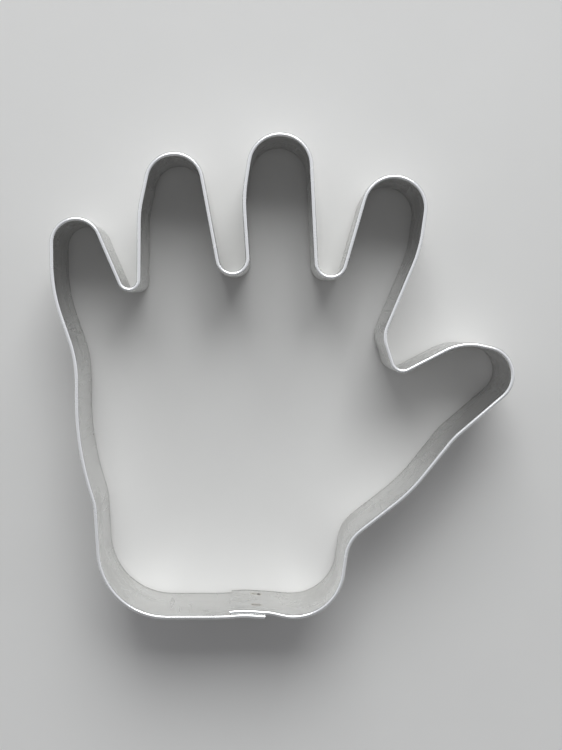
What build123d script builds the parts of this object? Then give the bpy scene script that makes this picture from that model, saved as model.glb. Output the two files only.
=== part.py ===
from build123d import *
import math
import os

# Hand-shaped cookie cutter, in millimetres. One stainless strip stands on its
# cutting edge and runs round the outline of a hand. Its top edge is folded outwards
# into a flattened hem, and its two ends lap at the wrist under two spot welds.
# +Z is up, +Y points to the fingertips and +X to the thumb.

# Strip
wall = 0.35
depth = 20.0
hem_height = 2.0
hem_gap = 0.08
fold_flats = 10

# Lap joint at the wrist
overlap = 6.6
outer_end_x = -3.3
joggle_length = 4.2
lap_clearance = 0.03
step_height = 1.4

# Spot welds
weld_radius = 0.9
weld_dent = 0.06
weld_rim = 0.12
weld_inset = 1.7
lower_weld_height = 3.6
upper_weld_height = 13.2

# Outline of the wall's inner face
wrist_y = -44.4
wrist_left_x = -34.1
wrist_right_x = 11.0
wrist_left_radius = 12.4
wrist_right_radius = 8.9
LEFT = 1
RIGHT = -1


class Bend:
    """A round stretch of the outline: its centre, its radius and the way it turns."""

    def __init__(self, x, y, radius, turn):
        self.centre = Vector(x, y)
        self.radius = radius
        self.turn = turn


wrist_corner_left = Bend(
    wrist_left_x + wrist_left_radius, wrist_y + wrist_left_radius, wrist_left_radius, RIGHT
)
side_hollow_low = Bend(-42.9, -25.2, 8.4, LEFT)
side_swell = Bend(17.7, -4.8, 55.5, RIGHT)
side_hollow_high = Bend(-61.2, -0.5, 23.4, LEFT)
pinky_root = Bend(-12.5, 21.2, 29.7, RIGHT)
pinky_tip = Bend(-38.1, 24.9, 4.1, RIGHT)
pinky_ring_valley = Bend(-28.4, 18.2, 2.2, LEFT)
ring_side = Bend(-6.1, 28.5, 20.0, RIGHT)
ring_tip = Bend(-20.0, 36.1, 4.8, RIGHT)
ring_middle_valley = Bend(-9.3, 22.1, 3.2, LEFT)
middle_side = Bend(19.9, 32.4, 26.6, RIGHT)
middle_tip = Bend(-0.5, 39.1, 5.4, RIGHT)
middle_index_valley = Bend(8.9, 21.4, 3.1, LEFT)
index_tip = Bend(20.6, 31.4, 5.4, RIGHT)
index_side = Bend(1.3, 30.5, 24.4, RIGHT)
thumb_web_side = Bend(24.0, 7.6, 5.4, LEFT)
thumb_web = Bend(22.3, 3.4, 2.5, LEFT)
thumb_knuckle = Bend(34.8, -4.0, 9.8, RIGHT)
thumb_tip = Bend(37.6, 0.5, 4.8, RIGHT)
thumb_hollow = Bend(41.7, -20.6, 13.9, LEFT)
palm_heel = Bend(1.6, 1.3, 31.1, RIGHT)
wrist_hollow = Bend(18.9, -34.3, 7.6, LEFT)
wrist_corner_right = Bend(
    wrist_right_x - wrist_right_radius, wrist_y + wrist_right_radius, wrist_right_radius, RIGHT
)

# Clockwise seen from above, from the outer end of the strip to the joggle
hand_bends = [
    wrist_corner_left,
    side_hollow_low,
    side_swell,
    side_hollow_high,
    pinky_root,
    pinky_tip,
    pinky_ring_valley,
    ring_side,
    ring_tip,
    ring_middle_valley,
    middle_side,
    middle_tip,
    middle_index_valley,
    index_tip,
    index_side,
    thumb_web_side,
    thumb_web,
    thumb_knuckle,
    thumb_tip,
    thumb_hollow,
    palm_heel,
    wrist_hollow,
    wrist_corner_right,
]

# Sizes that follow from the ones above
bead = 2 * wall + hem_gap
hem_bottom = depth - hem_height
step_bottom = hem_bottom - step_height
wall_shift = wall + lap_clearance
hem_shift = bead + lap_clearance
joggle_start_x = outer_end_x + joggle_length
weld_x = outer_end_x - weld_inset
wrist_outer_y = wrist_y - wall


def straight_run(bend_a, bend_b):
    """Ends of the straight line that leaves bend_a and meets bend_b, both tangent to it."""
    across = bend_b.centre - bend_a.centre
    along = across.normalized()
    side = Vector(-along.Y, along.X)
    lean = (bend_b.turn * bend_b.radius - bend_a.turn * bend_a.radius) / across.length
    normal = along * lean + side * math.sqrt(1 - lean**2)
    leave = bend_a.centre - normal * (bend_a.turn * bend_a.radius)
    meet = bend_b.centre - normal * (bend_b.turn * bend_b.radius)
    return leave, meet


def across_strip(point, travel):
    """Plane across the strip at a point: X outwards, Y up, normal along the travel."""
    return Plane(origin=point, x_dir=(-travel.Y, travel.X, 0), z_dir=travel)


def strip_section(plane, low_shift=0.0, high_shift=0.0):
    """Cross-section of the hemmed strip on a plane whose origin is at the wall's inner face.

    low_shift and high_shift move the wall and its hem inwards, as the lap needs.
    """
    low = -low_shift
    high = -high_shift
    fold_height = depth - bead / 2
    wall_outside = high + wall
    leaf_inside = wall_outside + hem_gap
    leaf_outside = high + bead
    fold_radius = bead / 2
    fold = []
    for corner in range(fold_flats + 1):
        angle = math.pi * corner / fold_flats
        across = high + fold_radius + fold_radius * math.cos(angle)
        fold.append((across, fold_height + fold_radius * math.sin(angle)))
    outline = Polyline(
        *fold,
        (high, hem_bottom),
        (low, step_bottom),
        (low, 0),
        (low + wall, 0),
        (low + wall, step_bottom),
        (wall_outside, hem_bottom),
        (wall_outside, fold_height),
        (leaf_inside, fold_height),
        (leaf_inside, hem_bottom),
        (leaf_outside, hem_bottom),
        close=True,
    )
    return plane * make_face(outline)


def bent_stretch(bend, start, end, travel):
    """Strip round one bend, from where one straight run meets it to where the next leaves."""
    spoke_in = start - bend.centre
    spoke_out = end - bend.centre
    first = math.atan2(spoke_in.Y, spoke_in.X)
    last = math.atan2(spoke_out.Y, spoke_out.X)
    swing = math.degrees(((last - first) * bend.turn) % (2 * math.pi))
    bend_axis = Axis(bend.centre, (0, 0, bend.turn))
    return revolve(strip_section(across_strip(start, travel)), axis=bend_axis, revolution_arc=swing)


def straight_stretch(start, end):
    """Strip along one straight run."""
    travel = (end - start).normalized()
    return extrude(strip_section(across_strip(start, travel)), amount=(end - start).length)


def hand_wall():
    """Stretches of the hemmed wall round the hand, from the outer end to the joggle."""
    first_end = Bend(outer_end_x, wrist_y, 0, RIGHT)
    joggle_start = Bend(joggle_start_x, wrist_y, 0, RIGHT)
    stops = [first_end] + hand_bends + [joggle_start]
    runs = [straight_run(a, b) for a, b in zip(stops, stops[1:])]
    stretches = [straight_stretch(*run) for run in runs]
    for bend, run_in, run_out in zip(hand_bends, runs, runs[1:]):
        travel = (run_in[1] - run_in[0]).normalized()
        stretches.append(bent_stretch(bend, run_in[1], run_out[0], travel))
    return stretches


def lap_tongue():
    """Inner end of the strip: the joggle and the panel that lies inside the outer end."""
    travel = Vector(-1, 0)
    joggle_start = across_strip(Vector(joggle_start_x, wrist_y), travel)
    joggle_end = across_strip(Vector(outer_end_x, wrist_y), travel)
    in_line = strip_section(joggle_start)
    stepped_in = strip_section(joggle_end, wall_shift, hem_shift)
    return [loft([in_line, stepped_in], ruled=True), extrude(stepped_in, amount=overlap)]


def weld_cylinder(height):
    """Round plug through both layers: the nugget's blank and the seat cut for it."""
    back_plane = Plane(origin=(weld_x, wrist_outer_y, height), z_dir=(0, 1, 0))
    both_layers = 2 * wall + lap_clearance
    return extrude(back_plane * Circle(weld_radius), amount=both_layers)


def spot_weld(height):
    """Weld nugget through both layers of the lap, dished by the electrodes on both faces."""
    nugget = weld_cylinder(height)
    dish_edge = weld_radius - weld_rim
    dish_radius = (dish_edge**2 + weld_dent**2) / (2 * weld_dent)
    reach = dish_radius - weld_dent
    back_dish = Pos(weld_x, wrist_outer_y - reach, height) * Sphere(dish_radius)
    front_dish = Pos(weld_x, wrist_y + wall_shift + reach, height) * Sphere(dish_radius)
    return nugget - back_dish - front_dish


def cutter_band():
    """The whole strip with its seats for the two weld nuggets."""
    first, *others = hand_wall() + lap_tongue()
    band = first.fuse(*others)
    return band - weld_cylinder(lower_weld_height) - weld_cylinder(upper_weld_height)


def main():
    band = cutter_band()
    centre = band.bounding_box().center()
    to_origin = Pos(-centre.X, -centre.Y, 0)
    nodes = {
        "cutter_band": band,
        "spot_weld_lower": spot_weld(lower_weld_height),
        "spot_weld_upper": spot_weld(upper_weld_height),
    }
    os.makedirs("parts", exist_ok=True)
    for name, shape in nodes.items():
        export_step(to_origin * shape, f"parts/{name}.step")


main()
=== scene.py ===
"""Looks of a hand-shaped cookie cutter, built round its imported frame.

The cutter is one stainless strip with a folded rim, bent round the outline of a hand
and closed at the wrist by two spot welds. The strip is drawn out straight, stretch by
stretch, made slightly wavy, and then bent along the outline, as the real one is.
"""

import logging
import math
from collections.abc import Callable
from dataclasses import dataclass, field
from enum import Enum

import bmesh
import bpy
from mathutils import Matrix, Vector


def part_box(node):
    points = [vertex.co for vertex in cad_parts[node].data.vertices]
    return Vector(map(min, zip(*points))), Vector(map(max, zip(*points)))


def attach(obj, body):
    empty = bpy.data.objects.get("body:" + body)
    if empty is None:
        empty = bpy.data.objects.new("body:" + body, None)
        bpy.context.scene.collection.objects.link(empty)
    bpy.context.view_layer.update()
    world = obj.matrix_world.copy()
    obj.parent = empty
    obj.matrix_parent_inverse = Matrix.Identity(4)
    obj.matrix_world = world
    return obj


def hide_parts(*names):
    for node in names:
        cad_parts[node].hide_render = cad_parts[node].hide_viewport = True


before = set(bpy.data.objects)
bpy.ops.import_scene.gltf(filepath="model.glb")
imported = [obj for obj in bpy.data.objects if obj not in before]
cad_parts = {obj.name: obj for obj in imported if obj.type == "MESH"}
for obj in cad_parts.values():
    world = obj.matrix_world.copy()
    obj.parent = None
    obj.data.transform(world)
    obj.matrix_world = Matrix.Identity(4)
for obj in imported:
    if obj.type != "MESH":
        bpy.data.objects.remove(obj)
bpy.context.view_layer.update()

MM = 0.001
NEAR = 0.001 * MM
ROOT = "root"
UV_NAME = "along_strip"
DEVELOPED = "developed"
STRAIN = "bend_strain"
FLOAT = "NodeSocketFloat"
VECTOR = "NodeSocketVector"
COLOUR = "NodeSocketColor"
LOG = logging.getLogger("cookie_cutter")
Colour = tuple[float, float, float, float]
Place = tuple[float, float, float]
Socket = bpy.types.NodeSocket
SocketValue = float | Place | Colour | Socket


class Turn(Enum):
    """Way a bend turns, walking clockwise round the hand."""

    LEFT = 1
    RIGHT = -1


@dataclass(frozen=True)
class Bend:
    """A round stretch of the outline, in millimetres of the drawing."""

    x: float
    y: float
    radius: float
    turn: Turn = Turn.RIGHT

    @property
    def signed_radius(self) -> float:
        """Radius in metres, negative for a right-hand turn."""
        return self.radius * self.turn.value * MM

    @property
    def centre(self) -> Vector:
        """Centre in metres of the drawing."""
        return Vector((self.x, self.y)) * MM


WRIST_Y = -44.4
WRIST_LEFT_X = -34.1
WRIST_RIGHT_X = 11.0
WRIST_LEFT_RADIUS = 12.4
WRIST_RIGHT_RADIUS = 8.9
HAND_BENDS = {
    "wrist_corner_left": Bend(
        WRIST_LEFT_X + WRIST_LEFT_RADIUS, WRIST_Y + WRIST_LEFT_RADIUS, WRIST_LEFT_RADIUS
    ),
    "side_hollow_low": Bend(-42.9, -25.2, 8.4, Turn.LEFT),
    "side_swell": Bend(17.7, -4.8, 55.5),
    "side_hollow_high": Bend(-61.2, -0.5, 23.4, Turn.LEFT),
    "pinky_root": Bend(-12.5, 21.2, 29.7),
    "pinky_tip": Bend(-38.1, 24.9, 4.1),
    "pinky_ring_valley": Bend(-28.4, 18.2, 2.2, Turn.LEFT),
    "ring_side": Bend(-6.1, 28.5, 20.0),
    "ring_tip": Bend(-20.0, 36.1, 4.8),
    "ring_middle_valley": Bend(-9.3, 22.1, 3.2, Turn.LEFT),
    "middle_side": Bend(19.9, 32.4, 26.6),
    "middle_tip": Bend(-0.5, 39.1, 5.4),
    "middle_index_valley": Bend(8.9, 21.4, 3.1, Turn.LEFT),
    "index_tip": Bend(20.6, 31.4, 5.4),
    "index_side": Bend(1.3, 30.5, 24.4),
    "thumb_web_side": Bend(24.0, 7.6, 5.4, Turn.LEFT),
    "thumb_web": Bend(22.3, 3.4, 2.5, Turn.LEFT),
    "thumb_knuckle": Bend(34.8, -4.0, 9.8),
    "thumb_tip": Bend(37.6, 0.5, 4.8),
    "thumb_hollow": Bend(41.7, -20.6, 13.9, Turn.LEFT),
    "palm_heel": Bend(1.6, 1.3, 31.1),
    "wrist_hollow": Bend(18.9, -34.3, 7.6, Turn.LEFT),
    "wrist_corner_right": Bend(
        WRIST_RIGHT_X - WRIST_RIGHT_RADIUS, WRIST_Y + WRIST_RIGHT_RADIUS, WRIST_RIGHT_RADIUS
    ),
}


@dataclass(frozen=True)
class StripSizes:
    """Sizes of the strip and its lap, in metres."""

    wall: float = 0.35 * MM
    depth: float = 20.0 * MM
    hem_height: float = 2.0 * MM
    hem_gap: float = 0.08 * MM
    overlap: float = 6.6 * MM
    outer_end_x: float = -3.3 * MM
    joggle_length: float = 5.2 * MM
    lap_clearance: float = 0.03 * MM
    step_height: float = 1.4 * MM
    wrist_y: float = WRIST_Y * MM

    @property
    def bead(self) -> float:
        """Thickness of the folded rim."""
        return 2 * self.wall + self.hem_gap

    @property
    def hem_bottom(self) -> float:
        """Height of the hem's lower edge."""
        return self.depth - self.hem_height

    @property
    def step_bottom(self) -> float:
        """Height at which the lapped wall starts to step in under the hem."""
        return self.hem_bottom - self.step_height

    @property
    def fold_height(self) -> float:
        """Height of the fold's centre."""
        return self.depth - self.bead / 2

    @property
    def wall_shift(self) -> float:
        """How far the lapped wall lies inside the outer one."""
        return self.wall + self.lap_clearance

    @property
    def hem_shift(self) -> float:
        """How far the lapped hem lies inside the outer one."""
        return self.bead + self.lap_clearance

    @property
    def joggle_start_x(self) -> float:
        """Where the joggle starts, on the wrist line of the drawing."""
        return self.outer_end_x + self.joggle_length


@dataclass(frozen=True)
class Stretch:
    """One straight run or one bend: its length and the turn that it makes."""

    start: Vector
    heading: float
    length: float
    swing: float = 0.0

    def point(self, share: float) -> Vector:
        """Point at a share of the stretch's length.

        Args:
            share: From 0 at the start to 1 at the end.

        Returns:
            The point, in metres of the drawing.
        """
        if self.swing == 0.0:
            along = Vector((math.cos(self.heading), math.sin(self.heading)))
            return self.start + along * (self.length * share)
        radius = self.length / self.swing
        turned = self.heading + self.swing * share
        step = Vector((
            math.sin(turned) - math.sin(self.heading),
            math.cos(self.heading) - math.cos(turned),
        ))
        return self.start + step * radius


@dataclass(frozen=True)
class LapBow:
    """How the hand-bent lap bows gently inwards from the straight wrist line."""

    x: float = -7.2 * MM
    depth: float = 0.26 * MM
    spread: float = 2.8 * MM

    def inwards(self, x: float) -> float:
        """How far inwards the wall stands at a place on the wrist line."""
        return self.depth * math.exp(-(((x - self.x) / self.spread) ** 2))


@dataclass
class HandOutline:
    """Line of the wall's inner face, from the outer end round to the inner one."""

    sizes: StripSizes
    bends: tuple[Bend, ...]
    bow: LapBow
    point_angle: float = math.radians(1.5)
    point_step: float = 0.5 * MM
    strain_fade: float = 1.0 * MM
    sharp_radius: float = 3.0 * MM
    stretches: list[Stretch] = field(init=False)

    def __post_init__(self) -> None:
        """Works out the stretches."""
        self.stretches = self._walk()

    @staticmethod
    def _tangent(bend_a: Bend, bend_b: Bend) -> tuple[Vector, Vector]:
        """Ends of the straight line that touches both bends.

        Args:
            bend_a: Bend that the line leaves.
            bend_b: Bend that the line meets.

        Returns:
            Where it leaves the one and where it meets the other.
        """
        across = bend_b.centre - bend_a.centre
        along = across.normalized()
        side = Vector((-along.y, along.x))
        lean = (bend_b.signed_radius - bend_a.signed_radius) / across.length
        normal = along * lean + side * math.sqrt(1 - lean**2)
        leave = bend_a.centre - normal * bend_a.signed_radius
        return leave, bend_b.centre - normal * bend_b.signed_radius

    def _walk(self) -> list[Stretch]:
        """Straight runs and bends in order, and the straight line of the lap.

        Returns:
            The stretches, from the outer end of the strip to the inner one.
        """
        sizes = self.sizes
        first = Bend(sizes.outer_end_x / MM, WRIST_Y, 0.0)
        last = Bend(sizes.joggle_start_x / MM, WRIST_Y, 0.0)
        stops = (first, *self.bends, last)
        runs = [self._tangent(a, b) for a, b in zip(stops, stops[1:])]
        headings = [math.atan2(*(end - start).yx) for start, end in runs]
        stretches = []
        for index, (start, end) in enumerate(runs):
            stretches.append(Stretch(start, headings[index], (end - start).length))
            if index < len(self.bends):
                bend = self.bends[index]
                turned = (headings[index + 1] - headings[index]) * bend.turn.value
                swing = turned % math.tau
                length = swing * bend.radius * MM
                stretches.append(Stretch(end, headings[index], length, swing * bend.turn.value))
        lap_length = sizes.joggle_length + sizes.overlap
        stretches.append(Stretch(runs[-1][1], math.pi, lap_length))
        return stretches

    @property
    def length(self) -> float:
        """Length of the strip."""
        return sum(stretch.length for stretch in self.stretches)

    def strain_at(self, x: float) -> float:
        """How hard the strip is bent at a distance along it.

        Args:
            x: Distance from the outer end, in metres.

        Returns:
            From 0 where it is straight to 1 where it is bent sharply.
        """
        start = 0.0
        strain = 0.0
        for stretch in self.stretches:
            if stretch.swing:
                radius = stretch.length / abs(stretch.swing)
                outside = max(start - x, x - start - stretch.length, 0.0)
                faded = max(0.0, 1.0 - outside / self.strain_fade)
                strain = max(strain, faded * min(1.0, self.sharp_radius / radius))
            start += stretch.length
        return strain

    def bend_line(self) -> list[Vector]:
        """Line that the straight strip is bent along.

        Returns:
            Its points, in metres of the drawing.
        """
        points = []
        for stretch in self.stretches:
            by_angle = math.ceil(abs(stretch.swing) / self.point_angle)
            by_length = math.ceil(stretch.length / self.point_step)
            steps = max(by_angle, by_length)
            points += [stretch.point(step / steps) for step in range(steps)]
        points.append(self.stretches[-1].point(1.0))
        wrist = self.sizes.wrist_y
        for point in points:
            if abs(point.y - wrist) < NEAR:
                point.y += self.bow.inwards(point.x)
        return points


class Shop:
    """Small helpers for working on one mesh object at a time."""

    @staticmethod
    def clear_selection() -> None:
        """Deselects every object."""
        for other in bpy.context.selected_objects:
            other.select_set(False)

    @classmethod
    def pick(cls, piece: bpy.types.Object) -> None:
        """Makes a piece the only selected and active object.

        Args:
            piece: The piece to work on.
        """
        cls.clear_selection()
        piece.select_set(True)
        bpy.context.view_layer.objects.active = piece

    @staticmethod
    def mode(name: str) -> None:
        """Enters edit or object mode."""
        bpy.ops.object.mode_set(mode=name)

    @staticmethod
    def select_verts(keep: Callable[[Vector], bool]) -> None:
        """Selects, in edit mode, what a test on a vertex's place keeps.

        Args:
            keep: Function of a vertex's coordinates that returns True to select it.
        """
        bpy.ops.mesh.select_mode(type="VERT")
        bpy.ops.mesh.select_all(action="DESELECT")
        mesh = bpy.context.active_object.data
        bm = bmesh.from_edit_mesh(mesh)
        for vert in bm.verts:
            if keep(vert.co):
                vert.select = True
        bm.select_flush(True)
        bmesh.update_edit_mesh(mesh)

    @classmethod
    def apply(cls, piece: bpy.types.Object, modifier: bpy.types.Modifier) -> None:
        """Applies a modifier to its piece."""
        cls.pick(piece)
        bpy.ops.object.modifier_apply(modifier=modifier.name)

    @classmethod
    def settle(cls, piece: bpy.types.Object) -> None:
        """Puts a piece's place into its mesh."""
        cls.pick(piece)
        bpy.ops.object.transform_apply(location=True, rotation=True, scale=True)

    @classmethod
    def smooth(cls, piece: bpy.types.Object, degrees: float) -> None:
        """Shades a piece smooth, apart from edges sharper than an angle."""
        cls.pick(piece)
        bpy.ops.object.shade_smooth_by_angle(angle=math.radians(degrees))


class NodeTree:
    """Adds and links shader nodes in one tree."""

    def __init__(self, tree: bpy.types.NodeTree) -> None:
        """Keeps the tree."""
        self.tree = tree

    def node(
        self,
        kind: str,
        inputs: dict[str | int, SocketValue] | None = None,
        **settings: str | bool,
    ) -> bpy.types.Node:
        """Adds a node.

        Args:
            kind: Node type without its ShaderNode prefix.
            inputs: Values of sockets, or sockets to link from, by socket name or index.
            **settings: Attributes of the node.

        Returns:
            The new node.
        """
        made = self.tree.nodes.new("ShaderNode" + kind)
        for name, value in settings.items():
            setattr(made, name, value)
        self.feed(made, inputs or {})
        return made

    def feed(self, node: bpy.types.Node, inputs: dict[str | int, SocketValue]) -> None:
        """Sets or links the inputs of a node.

        Args:
            node: The node.
            inputs: Values of sockets, or sockets to link from, by socket name or index.
        """
        for key, value in inputs.items():
            if isinstance(value, Socket):
                self.link(value, node.inputs[key])
            else:
                node.inputs[key].default_value = value

    def link(self, output: Socket, target: Socket) -> None:
        """Links an output to an input."""
        self.tree.links.new(output, target)

    def noise(
        self, place: Socket, scale: float | Socket, detail: float, roughness: float = 0.5
    ) -> Socket:
        """Adds a Noise Texture and returns its value."""
        inputs = {"Vector": place, "Scale": scale, "Detail": detail, "Roughness": roughness}
        return self.node("TexNoise", inputs).outputs["Fac"]

    def math(
        self, operation: str, first: float | Socket, second: float | Socket = 0.0, clamp: bool = False
    ) -> Socket:
        """Adds a Math node and returns its output."""
        made = self.node("Math", {0: first, 1: second}, operation=operation, use_clamp=clamp)
        return made.outputs[0]

    def scaled(self, value: Socket, factor: float, base: float) -> Socket:
        """Multiplies a value by a factor, adds a base and returns the output."""
        made = self.node("Math", {0: value, 1: factor, 2: base}, operation="MULTIPLY_ADD")
        return made.outputs[0]

    def ramp(self, value: Socket, low: float, high: float) -> Socket:
        """Maps a value softly from low and high onto 0 and 1, and returns the output."""
        inputs = {"Value": value, "From Min": low, "From Max": high}
        return self.node("MapRange", inputs, interpolation_type="SMOOTHSTEP").outputs["Result"]

    def blend(self, factor: Socket, first: Colour | Socket, second: Colour | Socket) -> Socket:
        """Mixes two colours by a factor and returns the output."""
        made = self.node("Mix", {0: factor, 6: first, 7: second}, data_type="RGBA")
        return made.outputs[2]


def blank_material(name: str) -> tuple[bpy.types.Material, NodeTree, bpy.types.Node]:
    """Starts a node material.

    Args:
        name: Name of the material.

    Returns:
        The material, its nodes and its shader.
    """
    material = bpy.data.materials.new(name)
    material.use_nodes = True
    shader = material.node_tree.nodes["Principled BSDF"]
    return material, NodeTree(material.node_tree), shader


class EffectGroup:
    """Base of the node groups that the finishes share."""

    name = ""
    inputs: tuple[tuple[str, str, float | None], ...] = ()
    outputs: tuple[tuple[str, str], ...] = ()

    def __init__(self, tree: bpy.types.NodeTree) -> None:
        """Keeps the group's nodes, inputs and outputs.

        Args:
            tree: The group's empty tree.
        """
        self.nodes = NodeTree(tree)
        self.source = tree.nodes.new("NodeGroupInput").outputs
        self.target = tree.nodes.new("NodeGroupOutput").inputs

    @classmethod
    def tree(cls) -> bpy.types.NodeTree:
        """Builds the group once.

        Returns:
            The same node tree each time.
        """
        found = bpy.data.node_groups.get(cls.name)
        if found:
            return found
        tree = bpy.data.node_groups.new(cls.name, "ShaderNodeTree")
        for name, kind, value in cls.inputs:
            socket = tree.interface.new_socket(name, in_out="INPUT", socket_type=kind)
            if value is not None:
                socket.default_value = value
        for name, kind in cls.outputs:
            tree.interface.new_socket(name, in_out="OUTPUT", socket_type=kind)
        cls(tree).wire()
        return tree

    def wire(self) -> None:
        """Builds what is inside the group."""
        raise NotImplementedError

    @classmethod
    def place(cls, nodes: NodeTree, inputs: dict[str | int, SocketValue]) -> bpy.types.Node:
        """Places the group in a material.

        Args:
            nodes: The material's nodes.
            inputs: Values or sockets for the group's inputs, by name.

        Returns:
            The group's node.
        """
        made = nodes.tree.nodes.new("ShaderNodeGroup")
        made.node_tree = cls.tree()
        nodes.feed(made, inputs)
        return made


class RollingLines(EffectGroup):
    """Fine lines that rolling leaves along a strip, and broad bands of them."""

    name = "rolling_lines"
    inputs = (
        ("Strip", VECTOR, None),
        ("Lines Per Metre", FLOAT, 5200.0),
        ("Breaks Per Metre", FLOAT, 28.0),
    )
    outputs = (("Lines", FLOAT), ("Bands", FLOAT))
    band_along = 0.35
    band_up = 0.16
    band_layer = 7.3

    def wire(self) -> None:
        """Stretches noise along the strip, once fine and once broad."""
        nodes, source = self.nodes, self.source
        parts = nodes.node("SeparateXYZ", {0: source["Strip"]})
        along = nodes.math("MULTIPLY", parts.outputs["X"], source["Breaks Per Metre"])
        up = nodes.math("MULTIPLY", parts.outputs["Y"], source["Lines Per Metre"])
        fine = nodes.node("CombineXYZ", {"X": along, "Y": up})
        broad = nodes.node("CombineXYZ", {
            "X": nodes.math("MULTIPLY", along, self.band_along),
            "Y": nodes.math("MULTIPLY", up, self.band_up),
            "Z": self.band_layer,
        })
        nodes.link(nodes.noise(fine.outputs[0], 1.0, 3.0), self.target["Lines"])
        nodes.link(nodes.noise(broad.outputs[0], 1.0, 2.0), self.target["Bands"])


class FineScratches(EffectGroup):
    """Thin scratches at many angles, from handling and washing."""

    name = "fine_scratches"
    inputs = (("Place", VECTOR, None), ("Density", FLOAT, 420.0))
    outputs = (("Scratches", FLOAT),)
    angles = (0.5, 1.35, 2.6)
    moved = (0.37, 0.11)
    stretch = 0.045
    ridge_level = 0.62
    ridge_width = 0.012
    patch_scale = 160.0
    patch_scale_step = 40.0
    patch_range = (0.5, 0.62)

    def wire(self) -> None:
        """Adds up thin ridges of noise, stretched at a few angles."""
        nodes, source = self.nodes, self.source
        total = None
        for index, angle in enumerate(self.angles):
            turned = nodes.node("Mapping", {
                "Vector": source["Place"],
                "Location": (index * self.moved[0], index * self.moved[1], 0.0),
                "Rotation": (0.0, 0.0, angle),
                "Scale": (1.0, self.stretch, 1.0),
            }).outputs[0]
            grain = nodes.noise(turned, source["Density"], 1.0)
            away = nodes.math("ABSOLUTE", nodes.math("SUBTRACT", grain, self.ridge_level))
            ridge = nodes.ramp(away, self.ridge_width, 0.0)
            patch = nodes.noise(turned, self.patch_scale + index * self.patch_scale_step, 0.0)
            masked = nodes.math("MULTIPLY", ridge, nodes.ramp(patch, *self.patch_range))
            total = masked if total is None else nodes.math("MAXIMUM", total, masked)
        nodes.link(total, self.target["Scratches"])


class Smudges(EffectGroup):
    """Faint finger marks and dried water on the metal."""

    name = "smudges"
    inputs = (("Place", VECTOR, None), ("Size", FLOAT, 90.0))
    outputs = (("Smudge", FLOAT),)
    patch_range = (0.44, 0.70)
    break_scale = 900.0
    break_range = (0.25, 0.75)
    break_share = 0.6

    def wire(self) -> None:
        """Breaks broad soft patches up with finer noise."""
        nodes, source = self.nodes, self.source
        broad = nodes.noise(source["Place"], source["Size"], 3.0, 0.55)
        fine = nodes.noise(source["Place"], self.break_scale, 4.0, 0.7)
        patch = nodes.ramp(broad, *self.patch_range)
        broken = nodes.ramp(fine, *self.break_range)
        kept = nodes.scaled(broken, self.break_share, 1.0 - self.break_share)
        nodes.link(nodes.math("MULTIPLY", patch, kept), self.target["Smudge"])


class EdgeWear(EffectGroup):
    """Brighter, smoother metal along an edge where it rubs."""

    name = "edge_wear"
    inputs = (
        ("Distance", FLOAT, 0.0),
        ("Reach", FLOAT, 0.0006),
        ("Place", VECTOR, None),
    )
    outputs = (("Wear", FLOAT),)
    border_scale = 700.0
    fade_range = (2.4, 0.6)

    def wire(self) -> None:
        """Fades from the edge, with an uneven border."""
        nodes, source = self.nodes, self.source
        uneven = nodes.noise(source["Place"], self.border_scale, 3.0)
        reach = nodes.math("MULTIPLY", source["Reach"], uneven)
        share = nodes.math("DIVIDE", source["Distance"], reach)
        nodes.link(nodes.ramp(share, *self.fade_range), self.target["Wear"])


class HeatTint(EffectGroup):
    """Straw, brown and blue rings that a spot weld leaves round itself."""

    name = "heat_tint"
    inputs = (
        ("Place", VECTOR, None),
        ("Centre", VECTOR, None),
        ("Radius", FLOAT, 0.0016),
    )
    outputs = (("Tint", COLOUR), ("Mask", FLOAT))
    stops = (
        (0.0, (0.30, 0.27, 0.25, 1.0)),
        (0.35, (0.40, 0.40, 0.44, 1.0)),
        (0.55, (0.50, 0.44, 0.41, 1.0)),
        (0.78, (0.64, 0.59, 0.51, 1.0)),
        (1.0, (0.67, 0.66, 0.63, 1.0)),
    )
    grain_scale = 900.0
    grain_share = 0.5
    mask_range = (1.15, 0.55)

    def wire(self) -> None:
        """Colours by the distance from the weld, made a little uneven."""
        nodes, source = self.nodes, self.source
        ends = {0: source["Place"], 1: source["Centre"]}
        apart = nodes.node("VectorMath", ends, operation="DISTANCE")
        grain = nodes.noise(source["Place"], self.grain_scale, 2.0)
        uneven = nodes.scaled(grain, self.grain_share, 1.0 - self.grain_share / 2)
        share = nodes.math("DIVIDE", apart.outputs["Value"], source["Radius"])
        share = nodes.math("MULTIPLY", share, uneven)
        ramp = nodes.node("ValToRGB", {0: share})
        elements = ramp.color_ramp.elements
        while len(elements) < len(self.stops):
            elements.new(0.5)
        for element, (place, colour) in zip(elements, self.stops):
            element.position = place
            element.color = colour
        nodes.link(ramp.outputs["Color"], self.target["Tint"])
        nodes.link(nodes.ramp(share, *self.mask_range), self.target["Mask"])


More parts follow.
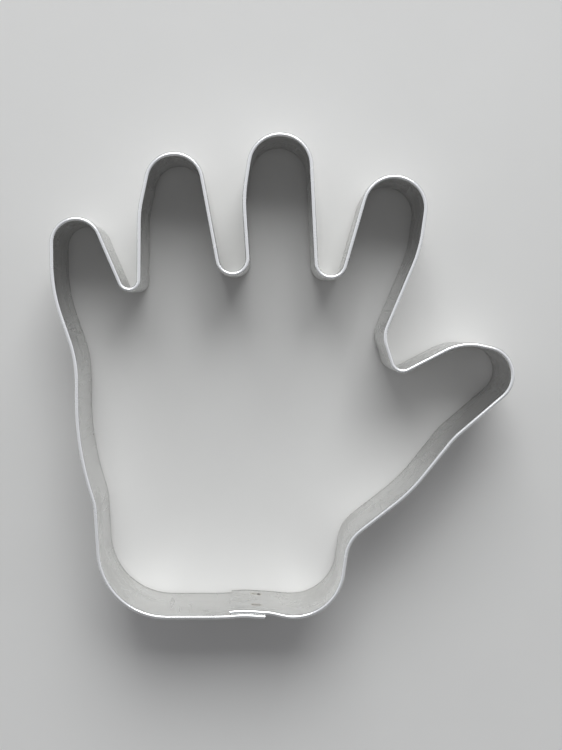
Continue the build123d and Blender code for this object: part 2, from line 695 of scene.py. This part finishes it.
@dataclass(frozen=True)
class SteelFinish:
    """Semi-bright cold-rolled stainless strip."""

    name: str
    welds: tuple[Place, ...]
    fold_start: float
    fold_end: float
    colour: Colour = (0.68, 0.68, 0.67, 1.0)
    smudged: Colour = (0.60, 0.595, 0.58, 1.0)
    # Painted shade: colour laid along the wall's foot, for the contact shadow where the cutting edge
    # meets the floor.
    foot_shade_colour: Colour = (0.30, 0.29, 0.27, 1.0)
    band_shade: float = 0.90
    band_range: tuple[float, float] = (0.3, 0.7)
    band_share: float = 0.35
    worn_shine: float = 1.12
    worn_share: float = 0.7
    foot_shade_height: float = 0.9 * MM
    foot_shade_core: float = 0.25
    foot_shade_share: float = 0.6
    rim_reach: float = 0.4 * MM
    roughness: float = 0.16
    line_roughness: float = 0.12
    smudge_roughness: float = 0.16
    scratch_roughness: float = 0.18
    peel_roughness: float = 0.14
    worn_roughness: float = -0.05
    peel_scale: float = 1500.0
    scratch_height: float = -0.12
    line_depth: float = 0.008 * MM
    tint_radius: float = 1.35 * MM

    def material(self) -> bpy.types.Material:
        """Builds the material.

        Returns:
            The material.
        """
        material, nodes, shader = blank_material(self.name)
        place = nodes.node("TexCoord").outputs["Object"]
        strip = nodes.node("UVMap", uv_map=UV_NAME).outputs["UV"]
        height = nodes.node("SeparateXYZ", {0: strip}).outputs["Y"]
        lines = RollingLines.place(nodes, {"Strip": strip}).outputs
        scratches = FineScratches.place(nodes, {"Place": strip}).outputs["Scratches"]
        smudge = Smudges.place(nodes, {"Place": place}).outputs["Smudge"]
        wear = self._wear(nodes, place, height)
        strain = nodes.node("Attribute", attribute_name=STRAIN).outputs["Fac"]
        peel = nodes.math("MULTIPLY", strain, nodes.noise(place, self.peel_scale, 2.0))
        colour = nodes.blend(smudge, self.colour, self.smudged)
        banded = nodes.ramp(lines["Bands"], *self.band_range)
        banded = nodes.math("MULTIPLY", banded, self.band_share)
        colour = nodes.blend(banded, colour, self._shade(self.band_shade))
        worn = nodes.math("MULTIPLY", wear, self.worn_share)
        colour = nodes.blend(worn, colour, self._shade(self.worn_shine))
        # Painted shade: darker towards the cutting edge, fading out over the lowest part of the wall,
        # for the contact shadow at its foot.
        foot = nodes.ramp(height, self.foot_shade_height, self.foot_shade_core * self.foot_shade_height)
        colour = nodes.blend(nodes.math("MULTIPLY", foot, self.foot_shade_share), colour, self.foot_shade_colour)
        for centre in self.welds:
            tint = HeatTint.place(nodes, {"Place": place, "Centre": centre, "Radius": self.tint_radius})
            colour = nodes.blend(tint.outputs["Mask"], colour, tint.outputs["Tint"])
        rough = nodes.scaled(lines["Lines"], self.line_roughness, self.roughness)
        for effect, added in (
            (smudge, self.smudge_roughness),
            (scratches, self.scratch_roughness),
            (wear, self.worn_roughness),
            (peel, self.peel_roughness),
        ):
            rough = nodes.math("ADD", rough, nodes.math("MULTIPLY", effect, added))
        relief = nodes.math("ADD", lines["Lines"], lines["Bands"])
        relief = nodes.math("ADD", relief, nodes.math("MULTIPLY", scratches, self.scratch_height))
        relief = nodes.math("ADD", relief, peel)
        bump = nodes.node("Bump", {"Height": relief, "Strength": 1.0, "Distance": self.line_depth})
        nodes.feed(shader, {
            "Base Color": colour,
            "Roughness": rough,
            "Normal": bump.outputs["Normal"],
            "Metallic": 1.0,
        })
        return material

    def _shade(self, factor: float) -> Colour:
        """Colour of the steel, made lighter or darker by a factor."""
        return (*(min(1.0, factor * part) for part in self.colour[:3]), 1.0)

    def _wear(self, nodes: NodeTree, place: Socket, height: Socket) -> Socket:
        """Wear along the cutting edge and over the fold of the rim.

        Args:
            nodes: The material's nodes.
            place: Object coordinates.
            height: Distance up the flat strip.

        Returns:
            The wear, from 0 to 1.
        """
        before_fold = nodes.math("SUBTRACT", self.fold_start, height)
        past_fold = nodes.math("SUBTRACT", height, self.fold_end)
        off_fold = nodes.math("MAXIMUM", before_fold, past_fold)
        foot = EdgeWear.place(nodes, {"Distance": height, "Place": place})
        rim_inputs = {"Distance": off_fold, "Reach": self.rim_reach, "Place": place}
        rim = EdgeWear.place(nodes, rim_inputs)
        return nodes.math("MAXIMUM", foot.outputs["Wear"], rim.outputs["Wear"])


@dataclass(frozen=True)
class WeldFinish:
    """Pressed and heat-tinted face of a spot weld."""

    name: str
    core: Colour
    rim: Colour = (0.62, 0.61, 0.58, 1.0)
    half_width: float = 0.9 * MM
    half_height: float = 0.9 * MM
    core_shift: float = 0.0
    core_range: tuple[float, float] = (0.55, 1.0)
    blotch_scale: float = 1300.0
    blotch_share: float = 0.6
    pit_scale: float = 4200.0
    pit_depth: float = 0.03 * MM
    pit_strength: float = 0.8
    pit_roughness: float = 0.25
    roughness: float = 0.25

    def material(self, centre: Vector) -> bpy.types.Material:
        """Builds the material.

        Args:
            centre: Middle of the weld, in metres.

        Returns:
            The material.
        """
        material, nodes, shader = blank_material(self.name)
        place = nodes.node("TexCoord").outputs["Object"]
        core_centre = (centre.x + self.core_shift, centre.y, centre.z)
        offset = nodes.node("VectorMath", {0: place, 1: core_centre}, operation="SUBTRACT")
        across = (1.0 / self.half_width, 0.0, 1.0 / self.half_height)
        shares = nodes.node("VectorMath", {0: offset.outputs[0], 1: across}, operation="MULTIPLY")
        apart = nodes.node("VectorMath", {0: shares.outputs[0]}, operation="LENGTH")
        outward = nodes.ramp(apart.outputs["Value"], *self.core_range)
        pits = nodes.noise(place, self.pit_scale, 4.0)
        uneven = nodes.math("SUBTRACT", nodes.noise(place, self.blotch_scale, 2.0), 0.5)
        blotch = nodes.math("MULTIPLY", uneven, self.blotch_share)
        mixed = nodes.math("ADD", outward, blotch, clamp=True)
        bump = nodes.node("Bump", {
            "Height": pits, "Strength": self.pit_strength, "Distance": self.pit_depth,
        })
        nodes.feed(shader, {
            "Base Color": nodes.blend(mixed, self.core, self.rim),
            "Roughness": nodes.scaled(pits, self.pit_roughness, self.roughness),
            "Normal": bump.outputs["Normal"],
            "Metallic": 1.0,
        })
        return material


@dataclass
class CutterBand:
    """The strip: drawn out straight, made wavy and bent round the hand."""

    sizes: StripSizes
    outline: HandOutline
    shift: Vector
    ring_step: float = 1.2 * MM
    ring_angle: float = math.radians(5.5)
    low_rows: int = 12
    step_rows: int = 4
    hem_rows: int = 2
    fold_steps: int = 12
    joggle_steps: int = 14
    corner: float = 0.07 * MM
    corner_segments: int = 2
    wave_depth: float = 0.16 * MM
    wave_size: float = 17.0 * MM
    edge_wave: float = 0.25
    seat_sides: int = 48
    punch_share: float = 4.0
    smooth_angle: float = 32.0
    piece: bpy.types.Object = field(init=False)

    def build(self, seats: list[Vector], seat_radius: float) -> None:
        """Builds the strip.

        Args:
            seats: Middles of the weld nuggets, in the frame.
            seat_radius: Radius of the nuggets.
        """
        self._section()
        self._draw_out()
        Shop.mode("OBJECT")
        self._map_strip()
        self._make_wavy()
        self._bend_to_hand()
        for seat in seats:
            self._punch_seat(seat, seat_radius)
        Shop.smooth(self.piece, self.smooth_angle)

    def dress(self, finish: SteelFinish) -> None:
        """Gives the strip its finish and ties it to the frame."""
        hand_in(self.piece, "cutter_band", finish.material())

    def _section(self) -> None:
        """Starts the piece with the cross-section of the inner end, and stays in edit mode."""
        sizes = self.sizes
        far = self.outline.length
        first_row = sizes.step_bottom / self.low_rows
        Shop.clear_selection()
        bpy.ops.mesh.primitive_plane_add(
            size=1.0,
            location=(far, sizes.wall / 2 - sizes.wall_shift, first_row / 2),
            rotation=(0.0, math.pi / 2, 0.0),
        )
        self.piece = bpy.context.active_object
        self.piece.name = self.piece.data.name = "strip_with_rim"
        self.piece.scale = (first_row, sizes.wall, 1.0)
        Shop.settle(self.piece)
        Shop.mode("EDIT")
        rows = [(first_row, 0.0)] * (self.low_rows - 1)
        lean = (sizes.hem_shift - sizes.wall_shift) / self.step_rows
        rows += [(sizes.step_height / self.step_rows, lean)] * self.step_rows
        hem_row = (sizes.fold_height - sizes.hem_bottom) / self.hem_rows
        rows += [(hem_row, 0.0)] * self.hem_rows
        Shop.select_verts(lambda place: abs(place.z - first_row) < NEAR)
        for rise, inwards in rows:
            bpy.ops.mesh.extrude_region_move(TRANSFORM_OT_translate={"value": (0.0, -inwards, rise)})
        bpy.ops.mesh.spin(
            steps=self.fold_steps,
            angle=math.pi,
            center=(far, sizes.bead / 2 - sizes.hem_shift, sizes.fold_height),
            axis=(1.0, 0.0, 0.0),
        )
        for _ in range(self.hem_rows):
            bpy.ops.mesh.extrude_region_move(TRANSFORM_OT_translate={"value": (0.0, 0.0, -hem_row)})
        self._round_corners()
        self._note_developed()

    def _round_corners(self) -> None:
        """Rounds the corners of the cutting edge and of the hem's lower edge."""
        sizes = self.sizes
        leaf_y = sizes.bead / 2 - sizes.hem_shift

        def is_corner(place: Vector) -> bool:
            """Tells whether a point of the section is one of those corners."""
            at_hem = abs(place.z - sizes.hem_bottom) < NEAR and place.y > leaf_y
            return abs(place.z) < NEAR or at_hem

        Shop.select_verts(is_corner)
        bpy.ops.mesh.bevel(offset=self.corner, segments=self.corner_segments, affect="VERTICES")

    def _note_developed(self) -> None:
        """Writes how far up the flat strip each vertex of the section lies."""
        sizes = self.sizes
        mesh = bpy.context.active_object.data
        bm = bmesh.from_edit_mesh(mesh)
        layer = bm.verts.layers.float.new(DEVELOPED)
        fold_y = sizes.bead / 2 - sizes.hem_shift
        mean_radius = sizes.bead / 2 - sizes.wall / 2
        for vert in bm.verts:
            above = vert.co.z - sizes.fold_height
            if above > NEAR:
                turned = math.atan2(above, fold_y - vert.co.y)
                vert[layer] = sizes.fold_height + mean_radius * turned
            elif vert.co.y > fold_y and vert.co.z > sizes.hem_bottom - NEAR:
                vert[layer] = sizes.fold_height + mean_radius * math.pi - above
            else:
                vert[layer] = vert.co.z
        bmesh.update_edit_mesh(mesh)

    def _draw_out(self) -> None:
        """Draws the section out along the whole strip, from the inner end to the outer one."""
        sizes = self.sizes
        bpy.ops.mesh.select_all(action="SELECT")
        self._draw(sizes.overlap, math.ceil(sizes.overlap / self.ring_step))
        for step in range(self.joggle_steps):
            self._joggle_ring(step)
        for stretch in reversed(self.outline.stretches[:-1]):
            by_angle = math.ceil(abs(stretch.swing) / self.ring_angle)
            by_length = math.ceil(stretch.length / self.ring_step)
            self._draw(stretch.length, max(1, by_angle, by_length))
        bpy.ops.mesh.select_all(action="SELECT")
        bpy.ops.mesh.normals_make_consistent(inside=False)
        self._put_in_order()

    def _put_in_order(self) -> None:
        """Sorts edges and faces, whose order the drawing out leaves to chance."""
        mesh = self.piece.data
        bm = bmesh.from_edit_mesh(mesh)
        bm.verts.index_update()
        count = len(bm.verts)

        def rank(element: bmesh.types.BMEdge | bmesh.types.BMFace) -> int:
            """Number made of the lowest vertices of an edge or face."""
            low, next_one, *others = sorted(vert.index for vert in element.verts)
            return (low * count + next_one) * count + (others[0] if others else 0)

        bm.edges.sort(key=rank)
        bm.faces.sort(key=rank)
        bmesh.update_edit_mesh(mesh)

    @staticmethod
    def _draw(length: float, steps: int) -> None:
        """Draws the selected end out by a length in equal steps."""
        bpy.ops.mesh.extrude_repeat(steps=steps, offset=(-length / steps, 0.0, 0.0))

    def _joggle_ring(self, step: int) -> None:
        """Draws one ring of the joggle and moves it outwards along a smooth step.

        Args:
            step: Number of the ring, from 0 at the lap.
        """
        sizes = self.sizes
        moved = self._ease((step + 1) / self.joggle_steps) - self._ease(step / self.joggle_steps)
        ring = sizes.joggle_length / self.joggle_steps
        outwards = sizes.wall_shift * moved
        bpy.ops.mesh.extrude_region_move(TRANSFORM_OT_translate={"value": (-ring, outwards, 0.0)})
        mesh = bpy.context.active_object.data
        bm = bmesh.from_edit_mesh(mesh)
        extra = (sizes.hem_shift - sizes.wall_shift) * moved
        for vert in bm.verts:
            if vert.select:
                share = (vert.co.z - sizes.step_bottom) / sizes.step_height
                vert.co.y += extra * min(1.0, max(0.0, share))
        bmesh.update_edit_mesh(mesh)

    @staticmethod
    def _ease(share: float) -> float:
        """Smooth step from 0 to 1."""
        return share * share * (3.0 - 2.0 * share)

    def _map_strip(self) -> None:
        """Maps the surface by the distance along the flat strip and up it, in metres."""
        mesh = self.piece.data
        layer = mesh.uv_layers.new(name=UV_NAME)
        developed = mesh.attributes[DEVELOPED].data
        for loop in mesh.loops:
            vertex = loop.vertex_index
            layer.data[loop.index].uv = (mesh.vertices[vertex].co.x, developed[vertex].value)
        strain = mesh.attributes.new(STRAIN, "FLOAT", "POINT")
        for vertex in mesh.vertices:
            strain.data[vertex.index].value = self.outline.strain_at(vertex.co.x)

    def _make_wavy(self) -> None:
        """Gives the flat strip the slight waves that bending leaves, inwards only."""
        piece, sizes = self.piece, self.sizes
        group = piece.vertex_groups.new(name="waves")
        lap = sizes.overlap + sizes.joggle_length
        for vertex in piece.data.vertices:
            up = min(1.0, vertex.co.z / sizes.hem_bottom)
            swell = self.edge_wave + (1.0 - self.edge_wave) * math.sin(math.pi * up)
            from_outer = (vertex.co.x - sizes.overlap) / lap
            from_inner = (self.outline.length - lap - vertex.co.x) / lap
            clear = self._ease(min(1.0, max(0.0, from_outer), max(0.0, from_inner)))
            if clear > 0.0:
                group.add([vertex.index], swell * clear, "REPLACE")
        texture = bpy.data.textures.new("sheet_waves", "CLOUDS")
        texture.noise_scale = self.wave_size
        texture.noise_depth = 1
        waves = piece.modifiers.new("waves", "DISPLACE")
        waves.texture = texture
        waves.texture_coords = "LOCAL"
        waves.direction = "Y"
        waves.mid_level = 1.0
        waves.strength = self.wave_depth
        waves.vertex_group = group.name
        Shop.apply(piece, waves)
        piece.vertex_groups.clear()
        bpy.data.textures.remove(texture)

    def _bend_to_hand(self) -> None:
        """Bends the strip along the outline of the hand."""
        line = bpy.data.curves.new("hand_bend_line", "CURVE")
        line.dimensions = "2D"
        points = self.outline.bend_line()
        spline = line.splines.new("POLY")
        spline.points.add(len(points) - 1)
        for target, point in zip(spline.points, points):
            place = point + self.shift
            target.co = (place.x, place.y, 0.0, 1.0)
        guide = bpy.data.objects.new("hand_bend_line", line)
        bpy.context.scene.collection.objects.link(guide)
        bend = self.piece.modifiers.new("bend", "CURVE")
        bend.object = guide
        bend.deform_axis = "POS_X"
        Shop.apply(self.piece, bend)
        bpy.data.objects.remove(guide)
        bpy.data.curves.remove(line)

    def _punch_seat(self, seat: Vector, radius: float) -> None:
        """Cuts the round seat of a weld nugget through both layers of the lap.

        Args:
            seat: Middle of the nugget.
            radius: Radius of the nugget.
        """
        Shop.clear_selection()
        bpy.ops.mesh.primitive_cylinder_add(
            vertices=self.seat_sides,
            radius=radius,
            depth=self.punch_share * self.sizes.bead,
            location=seat,
            rotation=(math.pi / 2, 0.0, 0.0),
        )
        punch = bpy.context.active_object
        cut = self.piece.modifiers.new("seat", "BOOLEAN")
        cut.operation = "DIFFERENCE"
        cut.solver = "EXACT"
        cut.object = punch
        Shop.apply(self.piece, cut)
        bpy.data.objects.remove(punch)


@dataclass(frozen=True)
class SpotWeld:
    """One weld nugget: a plug through both layers, pressed hollow on both faces."""

    name: str
    node: str
    finish: WeldFinish
    bow: LapBow
    radius: float = 0.9 * MM
    dent: float = 0.06 * MM
    rings: int = 6
    sides: int = 48
    smooth_angle: float = 30.0

    def corners(self) -> tuple[Vector, Vector]:
        """Corners of the nugget's box, moved in with the bowed lap.

        Returns:
            The lowest and the highest corner.
        """
        low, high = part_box(self.node)
        inwards = Vector((0.0, self.bow.inwards((low.x + high.x) / 2), 0.0))
        return low + inwards, high + inwards

    @property
    def centre(self) -> Vector:
        """Middle of the nugget in the frame."""
        low, high = self.corners()
        return (low + high) / 2

    def build(self) -> bpy.types.Object:
        """Builds the nugget.

        Returns:
            The finished piece.
        """
        low, high = self.corners()
        Shop.clear_selection()
        bpy.ops.mesh.primitive_cylinder_add(
            vertices=self.sides,
            radius=self.radius,
            depth=high.y - low.y,
            location=self.centre,
            rotation=(math.pi / 2, 0.0, 0.0),
        )
        piece = bpy.context.active_object
        piece.name = self.name
        Shop.settle(piece)
        for face_y, inwards in ((low.y, 1.0), (high.y, -1.0)):
            self._press(face_y, inwards)
        Shop.smooth(piece, self.smooth_angle)
        return piece

    def _press(self, face_y: float, inwards: float) -> None:
        """Insets one face in rings and presses them in to a shallow round dish.

        Args:
            face_y: Where the face lies.
            inwards: 1 or -1, the way into the nugget along Y.
        """
        Shop.mode("EDIT")
        Shop.select_verts(lambda place: abs(place.y - face_y) < NEAR)
        step = self.radius / (self.rings + 1)
        for ring in range(self.rings):
            bpy.ops.mesh.inset(thickness=step, depth=0.0)
            press = self.dent * (self._dish(ring + 1) - self._dish(ring)) * inwards
            bpy.ops.transform.translate(value=(0.0, press, 0.0))
        bpy.ops.mesh.poke()
        Shop.mode("OBJECT")

    def _dish(self, ring: int) -> float:
        """Share of the dent's depth that a ring reaches."""
        return math.sqrt(ring / self.rings)

    def dress(self, piece: bpy.types.Object) -> None:
        """Gives the nugget its finish and ties it to the frame."""
        hand_in(piece, self.node, self.finish.material(self.centre))


@dataclass(frozen=True)
class PhotoCamera:
    """Camera at the photograph's viewing angle."""

    width_px: float = 562.0
    height_px: float = 750.0
    focal_px: float = 1363.0
    plumb_px: tuple[float, float] = (258.0, 303.0)
    height: float = 272.0 * MM
    foot: tuple[float, float] = (-4.70 * MM, 13.85 * MM)
    sensor: float = 36.0
    clip: tuple[float, float] = (0.01, 20.0)

    def build(self) -> None:
        """Builds the camera above the cutter, tilted a few degrees."""
        data = bpy.data.cameras.new("photo_camera")
        data.sensor_width = self.sensor
        data.lens = self.focal_px / self.height_px * self.sensor
        data.clip_start, data.clip_end = self.clip
        camera = bpy.data.objects.new("photo_camera", data)
        bpy.context.scene.collection.objects.link(camera)
        down = Vector((
            self.plumb_px[0] - self.width_px / 2,
            self.height_px / 2 - self.plumb_px[1],
            -self.focal_px,
        )).normalized()
        up = -down
        right = (Vector((1.0, 0.0, 0.0)) - up * up.x).normalized()
        ahead = up.cross(right)
        turn = Matrix((right, ahead, up)).to_4x4()
        camera.matrix_world = Matrix.Translation((*self.foot, self.height)) @ turn
        bpy.context.scene.camera = camera


@dataclass(frozen=True)
class Studio:
    """Plain pale floor and soft light, mostly from beyond the fingertips."""

    floor_size: float = 4.0
    floor_colour: Colour = (0.78, 0.765, 0.74, 1.0)
    mottled_colour: Colour = (0.7488, 0.7344, 0.7104, 1.0)
    mottle_scale: float = 60.0
    floor_roughness: float = 0.9
    floor_gloss: float = 0.1
    window_place: Place = (0.05, 0.75, 0.75)
    window_size: float = 0.7
    window_energy: float = 8.5
    window_colour: Place = (0.95, 0.98, 1.0)
    room_colour: Colour = (0.93, 0.95, 1.0, 1.0)
    dim: float = 0.11
    bright: float = 1.15
    bright_height: tuple[float, float] = (0.85, 0.25)
    bright_beyond: tuple[float, float] = (-0.8, 0.1)
    backdrop: float = 1.0
    near_side: float = 0.35
    near_range: tuple[float, float] = (0.3, -0.75)

    def build(self) -> None:
        """Builds the floor, the lamp and the world."""
        self._floor()
        self._window()
        self._world()
        bpy.context.scene.view_settings.view_transform = "Standard"

    def _floor(self) -> None:
        """Lays the floor under the cutting edge."""
        Shop.clear_selection()
        bpy.ops.mesh.primitive_plane_add(size=self.floor_size, location=(0.0, 0.0, 0.0))
        floor = bpy.context.active_object
        floor.name = "floor"
        material, nodes, shader = blank_material("pale_floor")
        mottle = nodes.noise(nodes.node("TexCoord").outputs["Object"], self.mottle_scale, 5.0)
        nodes.feed(shader, {
            "Base Color": nodes.blend(mottle, self.floor_colour, self.mottled_colour),
            "Roughness": self.floor_roughness,
            "Specular IOR Level": self.floor_gloss,
        })
        floor.data.materials.append(material)

    def _window(self) -> None:
        """Hangs the soft square lamp beyond the fingertips, pointed at the cutter."""
        data = bpy.data.lights.new("window", "AREA")
        data.shape = "SQUARE"
        data.size = self.window_size
        data.energy = self.window_energy
        data.color = self.window_colour
        lamp = bpy.data.objects.new("window", data)
        lamp.location = self.window_place
        lamp.rotation_mode = "QUATERNION"
        lamp.rotation_quaternion = (-Vector(self.window_place)).to_track_quat("-Z", "Y")
        bpy.context.scene.collection.objects.link(lamp)

    def _world(self) -> None:
        """Gives a room that is bright low down beyond the fingertips, and dim elsewhere."""
        world = bpy.data.worlds.new("surround")
        world.use_nodes = True
        bpy.context.scene.world = world
        nodes = NodeTree(world.node_tree)
        background = world.node_tree.nodes["Background"]
        background.inputs["Color"].default_value = self.room_colour
        direction = nodes.node("SeparateXYZ", {0: nodes.node("TexCoord").outputs["Generated"]})
        low = nodes.ramp(direction.outputs["Z"], *self.bright_height)
        beyond = nodes.ramp(direction.outputs["Y"], *self.bright_beyond)
        glow = nodes.math("MULTIPLY", nodes.math("MULTIPLY", low, beyond), self.bright - self.dim)
        light = nodes.math("ADD", glow, self.dim)
        rays = nodes.node("LightPath").outputs
        by_metal = nodes.math("MAXIMUM", rays["Is Glossy Ray"], rays["Is Transmission Ray"])
        near_side = nodes.ramp(direction.outputs["Y"], *self.near_range)
        shaded = nodes.math("MULTIPLY", near_side, self.backdrop - self.near_side)
        mirrored = nodes.math("MULTIPLY", by_metal, nodes.math("SUBTRACT", self.backdrop, shaded))
        seen = nodes.math("MULTIPLY", rays["Is Camera Ray"], self.backdrop)
        strength = nodes.math("MAXIMUM", light, nodes.math("MAXIMUM", seen, mirrored))
        nodes.link(strength, background.inputs["Strength"])


def hand_in(piece: bpy.types.Object, node: str, material: bpy.types.Material) -> None:
    """Dresses a piece and ties it to the frame.

    Args:
        piece: The finished piece.
        node: The frame's node that it stands for.
        material: Finish of the piece.
    """
    piece.data.materials.clear()
    piece.data.materials.append(material)
    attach(piece, ROOT)
    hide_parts(node)
    triangles = sum(len(face.vertices) - 2 for face in piece.data.polygons)
    LOG.info("%s stands for %s with %d triangles", piece.name, node, triangles)


@dataclass
class HandCutter:
    """The whole cutter: the bent strip and the two welds that close it."""

    sizes: StripSizes = StripSizes()
    bow: LapBow = LapBow()
    outline: HandOutline = field(init=False)
    welds: tuple[SpotWeld, ...] = field(init=False)

    def __post_init__(self) -> None:
        """Sets out the outline and the welds."""
        self.outline = HandOutline(self.sizes, tuple(HAND_BENDS.values()), self.bow)
        burnt = WeldFinish(
            name="burnt_weld",
            core=(0.10, 0.09, 0.085, 1.0),
            half_width=0.40 * MM,
            core_shift=0.45 * MM,
        )
        faint = WeldFinish(name="faint_weld", core=(0.40, 0.38, 0.35, 1.0), half_height=0.6 * MM)
        self.welds = (
            SpotWeld("weld_near_edge", "spot_weld_lower", burnt, self.bow),
            SpotWeld("weld_near_rim", "spot_weld_upper", faint, self.bow),
        )

    def shift(self) -> Vector:
        """From the drawing of the outline to the frame.

        Returns:
            The shift, in metres.
        """
        low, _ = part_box("cutter_band")
        pinky = HAND_BENDS["pinky_tip"]
        drawn_left = (pinky.x - pinky.radius) * MM - self.sizes.bead
        drawn_bottom = self.sizes.wrist_y - self.sizes.bead
        return Vector((low.x - drawn_left, low.y - drawn_bottom))

    def build(self) -> None:
        """Builds and dresses the strip and the welds."""
        centres = [weld.centre for weld in self.welds]
        strip = CutterBand(self.sizes, self.outline, self.shift())
        strip.build(centres, self.welds[0].radius)
        strip.dress(self.steel(centres))
        for weld in self.welds:
            weld.dress(weld.build())

    def steel(self, centres: list[Vector]) -> SteelFinish:
        """Finish of the strip, tinted by heat round the welds.

        Args:
            centres: Middles of the welds, in the frame.

        Returns:
            The finish.
        """
        mid_fold = math.pi * (self.sizes.bead - self.sizes.wall) / 2
        return SteelFinish(
            name="rolled_stainless",
            welds=tuple(tuple(centre) for centre in centres),
            fold_start=self.sizes.fold_height,
            fold_end=self.sizes.fold_height + mid_fold,
        )


def main() -> None:
    """Builds the cutter, the studio and the camera, and logs each piece's triangle count."""
    logging.basicConfig(level=logging.INFO, format="%(name)s: %(message)s")
    HandCutter().build()
    Studio().build()
    PhotoCamera().build()


if __name__ == "__main__":
    main()
